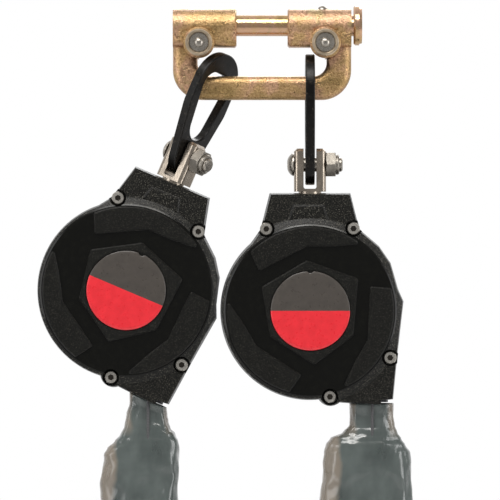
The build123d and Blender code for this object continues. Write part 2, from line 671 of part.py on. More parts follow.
def power_spring():
    """Flat spring strip wound from the axle out to the bore of the hub."""
    inner, outer = AXLE_BUSH_R, HUB_BORE_R - GAP - SPRING_STRIP
    steps = 10
    count = SPRING_COILS * steps
    line = []
    for i in range(count + 1):
        angle = 2 * pi * i / steps
        radius = inner + (outer - inner) * i / count
        line.append((radius * cos(angle), radius * sin(angle)))
    with BuildPart() as spring:
        with BuildSketch(Plane.XZ.offset(SPRING_HALF_WIDTH)):
            with BuildLine() as path:
                Spline(*line)
            trace(line_width=SPRING_STRIP)
            Circle(AXLE_BUSH_R + SPRING_STRIP / 2)
            Circle(AXLE_R, mode=Mode.SUBTRACT)
        extrude(amount=-2 * SPRING_HALF_WIDTH)
    return spring.part


# ================================================================ housing (leg frame)
def housing_outline():
    """Side view of the housing: a round body, a block over the swivel, and a block round the exit."""
    screw_x, screw_z = SCREW_POINTS[-1]
    body_low, body_high = polar(-84.3, BODY_R), polar(131.3, BODY_R)
    with BuildSketch() as outline:
        with BuildLine():
            Polyline(body_high, (-BLOCK_FOOT_HALF, BLOCK_FOOT), (-BLOCK_TOP_HALF, BLOCK_TOP),
                     (BLOCK_TOP_HALF, BLOCK_TOP), (BLOCK_FOOT_HALF, BLOCK_FOOT), (38.3, 35.8), (44.8, 26.4),
                     (48.9, 12.0), (52.0, 5.0), (48.8, -22.6), (46.2, -EXIT_DROP + 1.2), (40.2, -EXIT_DROP + 0.6),
                     (39.6, -EXIT_DROP - 2.2), (screw_x + 5.5, -EXIT_DROP - 0.6))
            ThreePointArc((screw_x + 5.5, -EXIT_DROP - 0.6), (screw_x, screw_z - SCREW_NOTCH_R - 0.9), body_low)
            ThreePointArc(body_low, polar(-156.5, BODY_R), body_high)
        make_face()
    return outline.sketch


def rounded_polygon(points, radius):
    with BuildSketch() as shape:
        with BuildLine():
            Polyline(*points, close=True)
        make_face()
        fillet(shape.vertices(), radius)
    return shape.sketch


def swirl_panel(rim_r):
    """One of three raised panels round the hub, with its outer edge on a circle inside the rim."""
    with BuildSketch() as panel:
        with BuildLine():
            Polyline(polar(131, 60), (-28.2, 21.8), (-1.8, 35.4), (11.9, 35.4), polar(39.5, 60), polar(85, 95), close=True)
        make_face()
        Circle(rim_r, mode=Mode.INTERSECT)
        fillet(panel.vertices(), 1.2)
    return panel.sketch


def drafted_block(outline, height, draw):
    """The outline raised from the parting plane, drawn in by an angle at its sides."""
    with BuildPart() as block:
        with BuildSketch():
            add(outline)
        extrude(amount=height)
        sides = block.faces().filter_by(lambda face: abs(face.normal_at().Z) < 0.5)
        draft(sides, Plane.XY, draw)
    return block.part


def cover_shell(block_depth, crown_depth, crown_r, foot_r, draw):
    """A draughted half shell, drawn lying on its parting plane with its round face up."""
    outline = housing_outline()
    slope = (foot_r - crown_r) / (crown_depth - block_depth)
    with BuildPart() as shell:
        add(drafted_block(outline, crown_depth, draw))
        with BuildSketch(Plane.XZ):
            with BuildLine():
                Polyline((0, 0), (crown_r + crown_depth * slope, 0),
                         (crown_r + CROWN_EDGE_R * slope, crown_depth - CROWN_EDGE_R),
                         (crown_r - 0.3 * CROWN_EDGE_R, crown_depth - 0.3 * CROWN_EDGE_R),
                         (crown_r - CROWN_EDGE_R, crown_depth), (0, crown_depth), close=True)
            make_face()
        revolve(axis=Axis.Z, mode=Mode.INTERSECT)
        add(drafted_block(outline, block_depth, draw))
        # swirl panels and hub, with bevelled edges
        with BuildSketch(Plane.XY.offset(crown_depth)):
            with PolarLocations(0, 3):
                add(swirl_panel(crown_r - PANEL_INSET))
            add(rounded_polygon([polar(angle, radius) for angle, radius in HUB_CORNERS], 2.0))
        extrude(amount=PANEL_RISE)
        chamfer(shell.faces().group_by(Axis.Z)[-1].edges(), PANEL_BEVEL)
        # hollow
        with BuildSketch():
            offset(outline, -SIDE_WALL)
        extrude(amount=block_depth - WALL, mode=Mode.SUBTRACT)
        with BuildSketch():
            Circle(crown_r - SIDE_WALL)
        extrude(amount=crown_depth - WALL, mode=Mode.SUBTRACT)
        # screw columns
        with BuildSketch():
            with Locations(*SCREW_POINTS):
                Circle(SCREW_NOTCH_R + 0.4)
            add(outline, mode=Mode.INTERSECT)
        extrude(amount=SCREW_LEDGE + 0.5)
        # clevis hole at the top and line exit at the bottom
        with BuildSketch(Plane.XZ.offset(1 - YOKE_TOP)):
            Circle(NECK_R + GAP)
        extrude(amount=-BLOCK_TOP, mode=Mode.SUBTRACT)
        with BuildSketch(Plane.XZ.offset(EXIT_DROP + 5)):
            with Locations((EXIT_X, 0)):
                Rectangle(2 * EXIT_HALF_WIDTH, 2 * EXIT_HALF_DEPTH)
        extrude(amount=-(GUIDE_HEIGHT + 6), mode=Mode.SUBTRACT)
        split(bisect_by=Plane.XY, keep=Keep.TOP)
    return shell.part


def front_cover():
    with BuildPart() as cover:
        add(cover_shell(BLOCK_DEPTH, CROWN_DEPTH, CROWN_R, CROWN_FOOT_R, DRAFT))
        with BuildSketch():
            with Locations(*SCREW_POINTS):
                Circle(SCREW_R + RUNNING)
        extrude(amount=2 * CROWN_DEPTH, mode=Mode.SUBTRACT)
        with BuildSketch(Plane.XY.offset(SCREW_LEDGE)):
            with Locations(*SCREW_POINTS):
                Circle(SCREW_NOTCH_R)
        extrude(amount=CROWN_DEPTH, mode=Mode.SUBTRACT)
        with BuildSketch(Plane.XY.offset(CROWN_DEPTH + PANEL_RISE)):
            Circle(LABEL_R)
        extrude(amount=-LABEL_RECESS, mode=Mode.SUBTRACT)
        with BuildSketch(Plane.XY.offset(BLOCK_DEPTH)):
            with BuildLine():
                Polyline((-8.5, 57.6), (6.8, 57.6), (8.9, 50.8), (-11, 50.8), close=True)
            make_face()
        extrude(amount=0.8)
    return cover.part.moved(Plane.XZ.location)


def rear_cover():
    with BuildPart() as cover:
        add(cover_shell(REAR_DEPTH - REAR_STEP, REAR_DEPTH, REAR_CROWN_R, REAR_FOOT_R, REAR_DRAFT))
        with BuildSketch():
            with Locations(*SCREW_POINTS):
                Circle(SCREW_R + SEAT)
        extrude(amount=SCREW_REACH + 0.5, mode=Mode.SUBTRACT)
    return cover.part.moved(Plane.XZ.location).mirror(Plane.XZ)


def cover_screws():
    with BuildPart() as screws:
        with BuildSketch(Plane.XZ.offset(SCREW_LEDGE)):
            with Locations(*SCREW_POINTS):
                Circle(SCREW_HEAD_R)
        extrude(amount=SCREW_HEAD)
        chamfer(screws.edges().filter_by(GeomType.CIRCLE).group_by(Axis.Y)[0], 0.4)
        with BuildSketch(Plane.XZ.offset(SCREW_LEDGE)):
            with Locations(*SCREW_POINTS):
                Circle(SCREW_R)
        extrude(amount=-(SCREW_LEDGE + SCREW_REACH))
        with BuildSketch(Plane.XZ.offset(SCREW_LEDGE + SCREW_HEAD)):
            with Locations(*SCREW_POINTS):
                RegularPolygon(1.5, 6, major_radius=False)
        extrude(amount=-2.0, mode=Mode.SUBTRACT)
    return screws.part


def webbing_guide():
    """A smooth frame set in the exit, which the line runs through."""
    half_x, half_y = EXIT_HALF_WIDTH - 0.15, EXIT_HALF_DEPTH - 0.15
    with BuildPart() as guide:
        with BuildSketch(Plane.XY.offset(-EXIT_DROP)):
            with Locations((EXIT_X, 0)):
                RectangleRounded(2 * half_x, 2 * half_y, 1.5)
                RectangleRounded(GUIDE_SLOT, 2 * WEB_HALF, 0.8, mode=Mode.SUBTRACT)
        extrude(amount=GUIDE_HEIGHT)
    return guide.part


def webbing_run():
    """The line between the wound roll and the exit."""
    with BuildPart() as run:
        with BuildSketch(Plane.XY):
            with Locations((EXIT_X + GAP + WEB_THICKNESS / 2, 0)):
                Rectangle(WEB_THICKNESS, WEB_WIDTH)
        extrude(amount=RUN_END - EXIT_DROP)
    return run.part


# ================================================================ line (frame with its origin at the exit)
def webbing_tail():
    """The line from the exit to the absorber; it lengthens as the line is paid out."""
    with BuildPart() as tail:
        with BuildSketch(Plane.XY.offset(-PACK_DROP)):
            Rectangle(WEB_THICKNESS, WEB_WIDTH)
        extrude(amount=PACK_DROP + TAIL_RISE)
    return tail.part


def absorber_pack():
    """Tear webbing folded into a block, with the loop below it that carries the hook."""
    bottom = -PACK_DROP - PACK_LENGTH
    loop_in, loop_out = HOOK_THICKNESS / 2 + LOOP_GAP, HOOK_THICKNESS / 2 + LOOP_GAP + WEB_THICKNESS
    loop_z = HOOK_TOP + HOOK_EYE_RISE - HOOK_HEAD - LOOP_GAP
    with BuildPart() as pack:
        with BuildSketch(Plane.XY.offset(bottom)):
            with Locations((PACK_SHIFT, 0)):
                RectangleRounded(PACK_WIDTH, PACK_DEPTH, 3)
        extrude(amount=PACK_LENGTH)
        chamfer(pack.faces().filter_by(Axis.Z).edges(), 1.5)
        with BuildSketch(Plane.YZ.offset(PACK_SHIFT - WEB_WIDTH / 2)):
            with BuildLine():
                Line((loop_out, bottom + 2), (loop_out, loop_z))
                ThreePointArc((loop_out, loop_z), (0, loop_z - LOOP_SAG - WEB_THICKNESS), (-loop_out, loop_z))
                Line((-loop_out, loop_z), (-loop_out, bottom + 2))
                Line((-loop_out, bottom + 2), (-loop_in, bottom + 2))
                Line((-loop_in, bottom + 2), (-loop_in, loop_z))
                ThreePointArc((-loop_in, loop_z), (0, loop_z - LOOP_SAG), (loop_in, loop_z))
                Polyline((loop_in, loop_z), (loop_in, bottom + 2), (loop_out, bottom + 2))
            make_face()
        extrude(amount=WEB_WIDTH)
    return pack.part


def sleeve_section(width, depth, z, shift, inset=0.0):
    with BuildSketch(Plane.XY.offset(z)) as section:
        with Locations((shift, 0)):
            RectangleRounded(width - 2 * inset, depth - 2 * inset, depth * 0.36 - inset)
    return section.sketch


def absorber_sleeve(lean):
    """A thin clear sleeve, gathered to a neck at the exit and open at the bottom."""
    with BuildPart() as sleeve:
        for inset, extra, mode in ((0, 0, Mode.ADD), (SLEEVE_WALL, 2, Mode.SUBTRACT)):
            sections = [
                sleeve_section(SLEEVE_NECK_WIDTH, SLEEVE_NECK_DEPTH, 12 + extra, 0, inset),
                sleeve_section(SLEEVE_NECK_WIDTH, SLEEVE_NECK_DEPTH, -4, 0, inset),
                sleeve_section(SLEEVE_WIDTH, SLEEVE_DEPTH, -SLEEVE_SHOULDER, PACK_SHIFT, inset),
                sleeve_section(SLEEVE_WIDTH, SLEEVE_DEPTH, -SLEEVE_LENGTH - extra, PACK_SHIFT, inset),
            ]
            loft(sections, ruled=True, mode=mode)
        # the neck is cut off parallel to the underside of the housing
        under = Plane(Location((0, 0, -NECK_GAP), (0, lean, 0)))
        split(bisect_by=under, keep=Keep.BOTTOM)
    return sleeve.part


# ================================================================ hook (frame with its origin at the seat's centre)
def hook_outline():
    """Side view of the forged hook: a round bow, a straight spine and a broad head."""
    half = HOOK_SEAT_R + HOOK_BAR
    with BuildSketch(Plane.XZ) as outline:
        with BuildLine():
            ThreePointArc((HOOK_SEAT_R, 0), (0, -HOOK_SEAT_R), (-HOOK_SEAT_R, 0))
            Polyline((-HOOK_SEAT_R, 0), (-HOOK_SEAT_R, REBATE_RISE), (-HOOK_SEAT_R - REBATE, REBATE_RISE),
                     (-HOOK_SEAT_R - REBATE, HOOK_TIP_RISE), (-half + 3, HOOK_TIP_RISE), (-half, 0))
            ThreePointArc((-half, 0), (0, -half), (half, 0))
            Polyline((half, 0), (half - 2, 60), (28, HOOK_HEAD - 16), (14, HOOK_HEAD), (-16, HOOK_HEAD),
                     (-30, HOOK_HEAD - 18), (-28, 78), (-10, 78), (2, 88), (18, 82), (HOOK_SEAT_R, 58),
                     (HOOK_SEAT_R, 0))
        make_face()
        fillet([v for v in outline.vertices() if v.Z > 2 * HOOK_TIP_RISE], 6)
        fillet([v for v in outline.vertices() if 5 < v.Z < 2 * HOOK_TIP_RISE], 1.9)
    return outline.sketch


def hook_body():
    with BuildPart() as hook:
        with BuildSketch(Plane.XZ):
            add(hook_outline())
        extrude(amount=HOOK_THICKNESS / 2, both=True)
        chamfer(hook.faces().filter_by(Axis.Y).edges(), HOOK_EDGE)
        with BuildSketch(Plane.XZ):
            with Locations((0, HOOK_EYE_RISE - HOOK_EYE_HEIGHT / 2)):
                SlotOverall(2 * HOOK_EYE_HALF, HOOK_EYE_HEIGHT)
            with Locations(GATE_PIVOT):
                Circle(RIVET_R + SEAT)
            with Locations(LOCK_PIVOT):
                Circle(LOCK_RIVET_R + SEAT)
        extrude(amount=HOOK_THICKNESS, both=True, mode=Mode.SUBTRACT)
    return hook.part


def hook_gate():
    """A forked bar that closes the mouth in the tip's rebate and swings in towards the spine."""
    x, z = GATE_PIVOT
    tip_in, tip_out = -HOOK_SEAT_R - GAP, GAP - HOOK_SEAT_R - REBATE
    with BuildPart() as gate:
        with BuildSketch(Plane.XZ):
            with BuildLine():
                Polyline((x - 6.5, z + 1), (x - 4, z + 6), (x + 4, z + 6), (x + 7, z), (-15.5, 40),
                         (tip_in + 4, 22), (tip_in, GATE_FOOT), (tip_out, GATE_FOOT), (tip_out + 1, 26),
                         (-28.5, 50), close=True)
            make_face()
        extrude(amount=GATE_HALF, both=True)
        chamfer(gate.faces().filter_by(Axis.Y).edges(), 0.8)
        with BuildSketch(Plane.XZ):
            with Locations(GATE_PIVOT):
                Circle(15.5)
        extrude(amount=HOOK_THICKNESS / 2 + GAP, both=True, mode=Mode.SUBTRACT)
        with BuildSketch(Plane.XZ):
            with Locations(GATE_PIVOT):
                Circle(RIVET_R + RUNNING)
        extrude(amount=2 * GATE_HALF, both=True, mode=Mode.SUBTRACT)
    return gate.part


def hook_lock():
    """A pressed lever over the outside of the spine, squeezed to free the gate."""
    with BuildPart() as lever:
        with BuildSketch(Plane.XZ):
            with BuildLine():
                Polyline((19, 105), (27, 112), (36.5, 105), (55.5, 58), (52, 52), (46, 60), (20, 96), close=True)
            make_face()
        extrude(amount=GATE_HALF, both=True)
        with BuildSketch(Plane.XZ):
            with BuildLine():
                Polyline((10, 118), (28, 118), (34, 104), (53, 57), (50, 45), (30, 55), (8, 92), close=True)
            make_face()
        extrude(amount=HOOK_THICKNESS / 2 + GAP, both=True, mode=Mode.SUBTRACT)
        with BuildSketch(Plane.XZ):
            with Locations(LOCK_PIVOT):
                Circle(LOCK_RIVET_R + RUNNING)
        extrude(amount=2 * GATE_HALF, both=True, mode=Mode.SUBTRACT)
    return lever.part


def hook_rivets():
    """The two headed pins on which the gate and the lock lever turn."""
    reach = GATE_HALF + GAP
    with BuildPart() as rivets:
        for (x, z), radius in ((GATE_PIVOT, RIVET_R), (LOCK_PIVOT, LOCK_RIVET_R)):
            with BuildSketch(Plane.XY.offset(z)):
                with BuildLine():
                    Polyline((x, -reach - RIVET_HEAD), (x + radius + 0.6, -reach - RIVET_HEAD),
                             (x + radius + 1.8, -reach), (x + radius, -reach), (x + radius, reach),
                             (x + radius + 1.8, reach), (x + radius + 0.6, reach + RIVET_HEAD),
                             (x, reach + RIVET_HEAD), close=True)
                make_face()
            revolve(axis=Axis((x, 0, z), (0, 1, 0)))
    return rivets.part


# ================================================================ main
for side, leg in LEGS.items():
    housing, turned, line = leg_place(leg), turned_place(leg), line_place(leg)
    hook = line * Location((PACK_SHIFT, 0, HOOK_TOP - HOOK_HEAD))
    save(anchor_link(), f"{side}_anchor_link", turned)
    save(swivel_clevis(), f"{side}_swivel_clevis", turned)
    save(clevis_bolt(), f"{side}_clevis_bolt", turned)
    save(clevis_nut(), f"{side}_clevis_nut", turned)
    save(swivel_nut(), f"{side}_swivel_nut", turned)
    save(load_frame(), f"{side}_load_frame", housing)
    save(axle(), f"{side}_axle", housing)
    save(drum(), f"{side}_drum", housing)
    save(wound_webbing(), f"{side}_wound_webbing", housing)
    save(ratchet_ring(), f"{side}_ratchet_ring", housing)
    save(pawl(1), f"{side}_pawl_a", housing)
    save(pawl(-1), f"{side}_pawl_b", housing)
    save(power_spring(), f"{side}_power_spring", housing)
    save(front_cover(), f"{side}_front_cover", housing)
    save(rear_cover(), f"{side}_rear_cover", housing)
    save(cover_screws(), f"{side}_cover_screws", housing)
    save(webbing_guide(), f"{side}_webbing_guide", housing)
    save(webbing_run(), f"{side}_webbing_run", housing)
    save(webbing_tail(), f"{side}_webbing_tail", line)
    save(absorber_pack(), f"{side}_absorber_pack", line)
    save(absorber_sleeve(leg["lean"]), f"{side}_absorber_sleeve", line)
    save(hook_body(), f"{side}_hook_body", hook)
    save(hook_gate(), f"{side}_hook_gate", hook)
    save(hook_lock(), f"{side}_hook_lock", hook)
    save(hook_rivets(), f"{side}_hook_rivets", hook)

save(connector_frame(), "connector_frame")
save(lock_pin(), "lock_pin")
save(stop_screw(), "pin_stop_screw")
for side, x in (("left", -BUTTON_X), ("right", BUTTON_X)):
    save(button_bush(x), f"{side}_button_bush")
    save(lock_button(x), f"{side}_lock_button")
    save(button_spring(x), f"{side}_button_spring")

for side, leg in LEGS.items():
    print(side, "drum axis", drum_centre(leg), "exit", tuple(exit_point(leg)), "bar gap", hang_gap(leg["lean"], leg["turn"]))
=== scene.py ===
"""Looks for the twin-leg self retracting lifeline: materials, soft pieces, label discs, light and camera."""
import json
import math

import bmesh
import bpy
from mathutils import Matrix, Vector, noise


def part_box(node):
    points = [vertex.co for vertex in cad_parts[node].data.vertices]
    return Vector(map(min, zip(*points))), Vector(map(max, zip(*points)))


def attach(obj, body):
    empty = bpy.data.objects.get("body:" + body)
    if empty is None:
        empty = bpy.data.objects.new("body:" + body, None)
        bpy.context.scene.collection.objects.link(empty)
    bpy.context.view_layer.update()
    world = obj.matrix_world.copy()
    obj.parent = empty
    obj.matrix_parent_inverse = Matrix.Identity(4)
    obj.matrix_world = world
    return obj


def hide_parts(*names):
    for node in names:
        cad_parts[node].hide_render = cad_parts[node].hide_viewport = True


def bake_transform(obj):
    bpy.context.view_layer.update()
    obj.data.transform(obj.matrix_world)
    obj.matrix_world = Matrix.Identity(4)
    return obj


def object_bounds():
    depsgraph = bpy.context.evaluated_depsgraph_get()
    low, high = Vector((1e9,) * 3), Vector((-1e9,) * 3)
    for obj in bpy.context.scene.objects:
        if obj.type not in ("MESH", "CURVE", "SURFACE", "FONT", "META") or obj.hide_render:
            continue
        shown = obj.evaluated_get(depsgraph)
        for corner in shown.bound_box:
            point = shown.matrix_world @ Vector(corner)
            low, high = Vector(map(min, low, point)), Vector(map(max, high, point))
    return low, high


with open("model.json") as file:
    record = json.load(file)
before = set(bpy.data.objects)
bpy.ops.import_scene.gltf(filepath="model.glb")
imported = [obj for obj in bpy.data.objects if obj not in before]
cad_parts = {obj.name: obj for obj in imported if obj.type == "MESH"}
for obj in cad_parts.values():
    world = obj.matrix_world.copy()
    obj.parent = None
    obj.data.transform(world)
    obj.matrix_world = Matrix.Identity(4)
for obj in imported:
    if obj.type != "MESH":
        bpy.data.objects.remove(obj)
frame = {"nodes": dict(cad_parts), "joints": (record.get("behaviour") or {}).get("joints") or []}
cad_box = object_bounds()
nodes = frame["nodes"]
joints = {joint["name"]: joint for joint in frame["joints"]}
MM = 0.001


# ---------------------------------------------------------------- helpers for materials
class Shader:
    """A material whose nodes are added one line at a time."""

    def __init__(self, name):
        self.mat = bpy.data.materials.new(name)
        self.mat.use_nodes = True
        self.tree = self.mat.node_tree
        self.bsdf = self.tree.nodes["Principled BSDF"]
        self.coord = self.tree.nodes.new("ShaderNodeTexCoord")

    def put(self, value, socket):
        """Links a socket, or sets a constant."""
        if isinstance(value, bpy.types.NodeSocket):
            self.tree.links.new(value, socket)
        else:
            socket.default_value = value

    def stretch(self, scale):
        """Object coordinates, scaled along each axis."""
        mapping = self.tree.nodes.new("ShaderNodeMapping")
        self.put(self.coord.outputs["Object"], mapping.inputs["Vector"])
        mapping.inputs["Scale"].default_value = scale
        return mapping.outputs["Vector"]

    def noise(self, scale, detail=4.0, roughness=0.6, stretch=(1, 1, 1), distortion=0.0):
        """Noise in object space, scale per metre."""
        item = self.tree.nodes.new("ShaderNodeTexNoise")
        self.put(self.stretch(stretch), item.inputs["Vector"])
        item.inputs["Scale"].default_value = scale
        item.inputs["Detail"].default_value = detail
        item.inputs["Roughness"].default_value = roughness
        item.inputs["Distortion"].default_value = distortion
        return item.outputs["Fac"]

    def ramp(self, value, *stops):
        """A colour ramp whose stops are (place, colour or grey level)."""
        item = self.tree.nodes.new("ShaderNodeValToRGB")
        ramp = item.color_ramp
        while len(ramp.elements) < len(stops):
            ramp.elements.new(0.5)
        for element, (place, colour) in zip(ramp.elements, stops):
            element.position = place
            element.color = (*colour, 1) if isinstance(colour, tuple) else (colour, colour, colour, 1)
        self.put(value, item.inputs["Fac"])
        return item.outputs["Color"]

    def mix(self, factor, first, second, blend="MIX"):
        item = self.tree.nodes.new("ShaderNodeMix")
        item.data_type = "RGBA"
        item.blend_type = blend
        self.put(factor, item.inputs[0])
        for socket, value in ((item.inputs[6], first), (item.inputs[7], second)):
            self.put((*value, 1) if isinstance(value, tuple) else value, socket)
        return item.outputs[2]

    def math(self, operation, first, second=0.0, clamp=False):
        item = self.tree.nodes.new("ShaderNodeMath")
        item.operation = operation
        item.use_clamp = clamp
        self.put(first, item.inputs[0])
        self.put(second, item.inputs[1])
        return item.outputs[0]

    def bump(self, height, strength, distance, below=None):
        item = self.tree.nodes.new("ShaderNodeBump")
        item.inputs["Strength"].default_value = strength
        item.inputs["Distance"].default_value = distance
        self.put(height, item.inputs["Height"])
        if below is not None:
            self.put(below, item.inputs["Normal"])
        return item.outputs["Normal"]

    def axis(self, letter):
        item = self.tree.nodes.new("ShaderNodeSeparateXYZ")
        self.put(self.coord.outputs["Object"], item.inputs[0])
        return item.outputs[letter]

    def in_mm(self, letter):
        return self.math("MULTIPLY", self.axis(letter), 1000.0)

    def set(self, **values):
        """Fills the shader's own sockets by name and returns the material."""
        for key, value in values.items():
            socket = self.bsdf.inputs[key.replace("_", " ").title().replace("Ior", "IOR")]
            self.put((*value, 1) if isinstance(value, tuple) else value, socket)
        return self.mat


# ---------------------------------------------------------------- metals
def zinc(name, grain, rough):
    """Yellow dichromate zinc: gold with pink and olive tints over a forged, blasted grain."""
    m = Shader(name)
    tint = m.ramp(m.noise(50, 3, 0.6, distortion=0.8), (0.28, (0.36, 0.245, 0.11)), (0.45, (0.52, 0.345, 0.175)),
                  (0.58, (0.56, 0.345, 0.235)), (0.74, (0.37, 0.305, 0.145)))
    pits = m.noise(950, 3, 0.65, distortion=0.4)
    specks = m.ramp(pits, (0.33, (0.50, 0.44, 0.36)), (0.50, (0.86, 0.84, 0.78)), (0.62, (1.0, 0.99, 0.95)))
    colour = m.mix(grain, tint, specks, "MULTIPLY")
    roughness = m.ramp(m.noise(240, 4, 0.7), (0.3, rough - 0.08), (0.7, rough + 0.12))
    coarse = m.bump(pits, 0.60 * grain, 0.0006)
    fine = m.bump(m.noise(1700, 3, 0.7), 0.25 * grain, 0.00025, coarse)
    return m.set(base_color=colour, metallic=0.92, roughness=roughness, normal=fine)


def bright(name, base, rough, tint=0.1, stretch=(1, 1, 1), depth=0.12, scale=900):
    """Plated or turned steel, with brush marks where stretch is uneven."""
    m = Shader(name)
    dark = tuple(c * (1 - tint) for c in base)
    colour = m.ramp(m.noise(160, 3, 0.6, stretch), (0.3, dark), (0.7, base))
    roughness = m.ramp(m.noise(scale, 3, 0.6, stretch), (0.3, rough - 0.06), (0.7, rough + 0.10))
    return m.set(base_color=colour, metallic=0.95, roughness=roughness,
                 normal=m.bump(m.noise(scale, 2, 0.6, stretch), depth, 0.0002))


def black_steel():
    m = Shader("black_link")
    worn = m.ramp(m.noise(75, 5, 0.65), (0.46, (0.0018, 0.0015, 0.0012)), (0.76, (0.010, 0.008, 0.006)))
    fleck = m.ramp(m.noise(620, 2, 0.5), (0.62, 0.0), (0.72, 1.0))
    colour = m.mix(m.math("MULTIPLY", fleck, 0.25), worn, (0.12, 0.10, 0.08))
    roughness = m.ramp(m.noise(180, 4, 0.6), (0.3, 0.24), (0.7, 0.40))
    coat = m.bump(m.noise(300, 2, 0.5), 0.16, 0.0004)
    return m.set(base_color=colour, roughness=roughness, normal=coat, specular_ior_level=0.20)


# ---------------------------------------------------------------- plastics
# planes of the covers and screws, in mm along Y from the parting plane
FRONT_FLOOR, REAR_FLOOR, FLOOR_BAND = 16.0, 18.4, 0.35
PANEL_FROM = -16.5
# beyond this depth the screw's colour is painted shade
SOCKET_SHADE_FROM = -12.1


def housing_plastic():
    """Black moulding: textured blocks with painted glints in the colour, fewer glints on the raised panels, smooth
    channel floors without glints.
    """
    m = Shader("housing_black")
    depth = m.in_mm("Y")
    front = m.math("LESS_THAN", m.math("ABSOLUTE", m.math("ADD", depth, FRONT_FLOOR)), FLOOR_BAND)
    rear = m.math("LESS_THAN", m.math("ABSOLUTE", m.math("SUBTRACT", depth, REAR_FLOOR)), FLOOR_BAND)
    smooth = m.math("ADD", front, rear, clamp=True)
    grain = m.noise(1150, 3, 0.75)
    texture = m.bump(grain, 0.45, 0.00045)
    soft = m.bump(m.noise(90, 2, 0.5), 0.06, 0.0008)
    blend = m.tree.nodes.new("ShaderNodeMix")
    blend.data_type = "VECTOR"
    m.put(smooth, blend.inputs[0])
    m.put(texture, blend.inputs[4])
    m.put(soft, blend.inputs[5])
    rough_side = m.ramp(grain, (0.3, 0.28), (0.7, 0.48))
    roughness = m.mix(smooth, rough_side, (0.15, 0.15, 0.15))
    dust = m.ramp(m.noise(260, 5, 0.8), (0.5, (0.0022, 0.0022, 0.0016)), (0.8, (0.006, 0.006, 0.0045)))
    # painted glints: bright dots in the colour stand in for light caught by the texture, fewer on raised panels, none
    # on channel floors
    painted_glints = m.ramp(m.noise(1900, 1, 0.5), (0.58, 0.0), (0.72, 1.0))
    raised = m.math("LESS_THAN", depth, PANEL_FROM)
    quiet = m.math("ADD", smooth, m.math("MULTIPLY", raised, 0.7), clamp=True)
    painted_glints = m.math("MULTIPLY", painted_glints, m.math("SUBTRACT", 1.0, quiet))
    # the colour is the dust tone with the painted glints mixed in
    colour = m.mix(m.math("MULTIPLY", painted_glints, 0.8), dust, (0.13, 0.122, 0.10))
    return m.set(base_color=colour, roughness=roughness, normal=blend.outputs[1], specular_ior_level=0.22)


def socket_screw():
    """Turned screw head, with painted shade in the colour inside its hexagon socket."""
    m = Shader("screw_steel")
    # painted shade: deeper into the socket than this plane the screw takes a dark colour
    deep = m.math("GREATER_THAN", m.in_mm("Y"), SOCKET_SHADE_FROM)
    face = m.ramp(m.noise(420, 3, 0.6), (0.3, (0.42, 0.40, 0.36)), (0.7, (0.60, 0.57, 0.52)))
    return m.set(base_color=m.mix(deep, face, (0.060, 0.052, 0.044)), metallic=0.9,
                 roughness=m.ramp(m.noise(700, 2), (0.3, 0.20), (0.7, 0.34)),
                 normal=m.bump(m.noise(520, 3, 0.6), 0.25, 0.0003))


def plain_plastic(name, base, rough):
    m = Shader(name)
    dark = tuple(c * 0.8 for c in base)
    return m.set(base_color=m.ramp(m.noise(120, 3), (0.3, dark), (0.7, base)),
                 roughness=m.ramp(m.noise(600, 3), (0.3, rough), (0.7, rough + 0.12)),
                 normal=m.bump(m.noise(900, 2), 0.15, 0.0003))


def film():
    """Heat shrunk sleeve: blue grey where it lies on the webbing, clearer and tan in the flat margins."""
    m = Shader("sleeve_film")
    across, height = m.in_mm("X"), m.in_mm("Z")
    wander = m.math("MULTIPLY", m.math("SUBTRACT", m.noise(55, 2, 0.5), 0.5), 9.0)
    margin = m.ramp(m.math("MULTIPLY", m.math("ADD", across, wander), -0.02), (0.34, 0.0), (0.40, 1.0))
    neck = m.ramp(m.math("MULTIPLY", m.math("ADD", height, 40.0), 0.02), (0.38, 0.0), (0.56, 1.0))
    off_middle = m.math("ABSOLUTE", m.math("ADD", across, wander))
    rim = m.ramp(m.math("MULTIPLY", off_middle, 0.05), (0.40, 0.0), (0.52, 1.0))
    bare = m.math("MAXIMUM", margin, m.math("MULTIPLY", neck, rim))
    over = m.ramp(m.noise(60, 3, 0.55, (1, 1, 0.6)), (0.3, (0.050, 0.062, 0.059)), (0.7, (0.105, 0.124, 0.118)))
    colour = m.mix(bare, over, (0.25, 0.215, 0.175))
    creases = m.bump(m.noise(42, 2, 0.45, (1, 1, 0.8), 1.1), 0.7, 0.0030)
    roughness = m.ramp(m.noise(60, 3), (0.3, 0.14), (0.7, 0.24))
    alpha = m.mix(bare, (0.90, 0.90, 0.90), (0.66, 0.66, 0.66))
    m.mat.surface_render_method = "BLENDED"
    return m.set(base_color=colour, roughness=roughness, normal=creases, alpha=alpha, coat_weight=0.5,
                 coat_roughness=0.08)


def woven(name, base, warp_axis="X"):
    """Flat webbing: ribs that run across the strip and a finer warp along it."""
    m = Shader(name)
    weft = m.tree.nodes.new("ShaderNodeTexWave")
    weft.bands_direction = "Z"
    weft.inputs["Scale"].default_value = 210
    weft.inputs["Distortion"].default_value = 0.6
    warp = m.tree.nodes.new("ShaderNodeTexWave")
    warp.bands_direction = warp_axis
    warp.inputs["Scale"].default_value = 260
    for item in (weft, warp):
        m.put(m.coord.outputs["Object"], item.inputs["Vector"])
    ribs = m.math("MULTIPLY", weft.outputs["Fac"], warp.outputs["Fac"])
    low = tuple(c * 0.45 for c in base)
    colour = m.ramp(ribs, (0.0, low), (0.7, base))
    return m.set(base_color=colour, roughness=0.82, sheen_weight=0.25, normal=m.bump(ribs, 0.6, 0.0004))


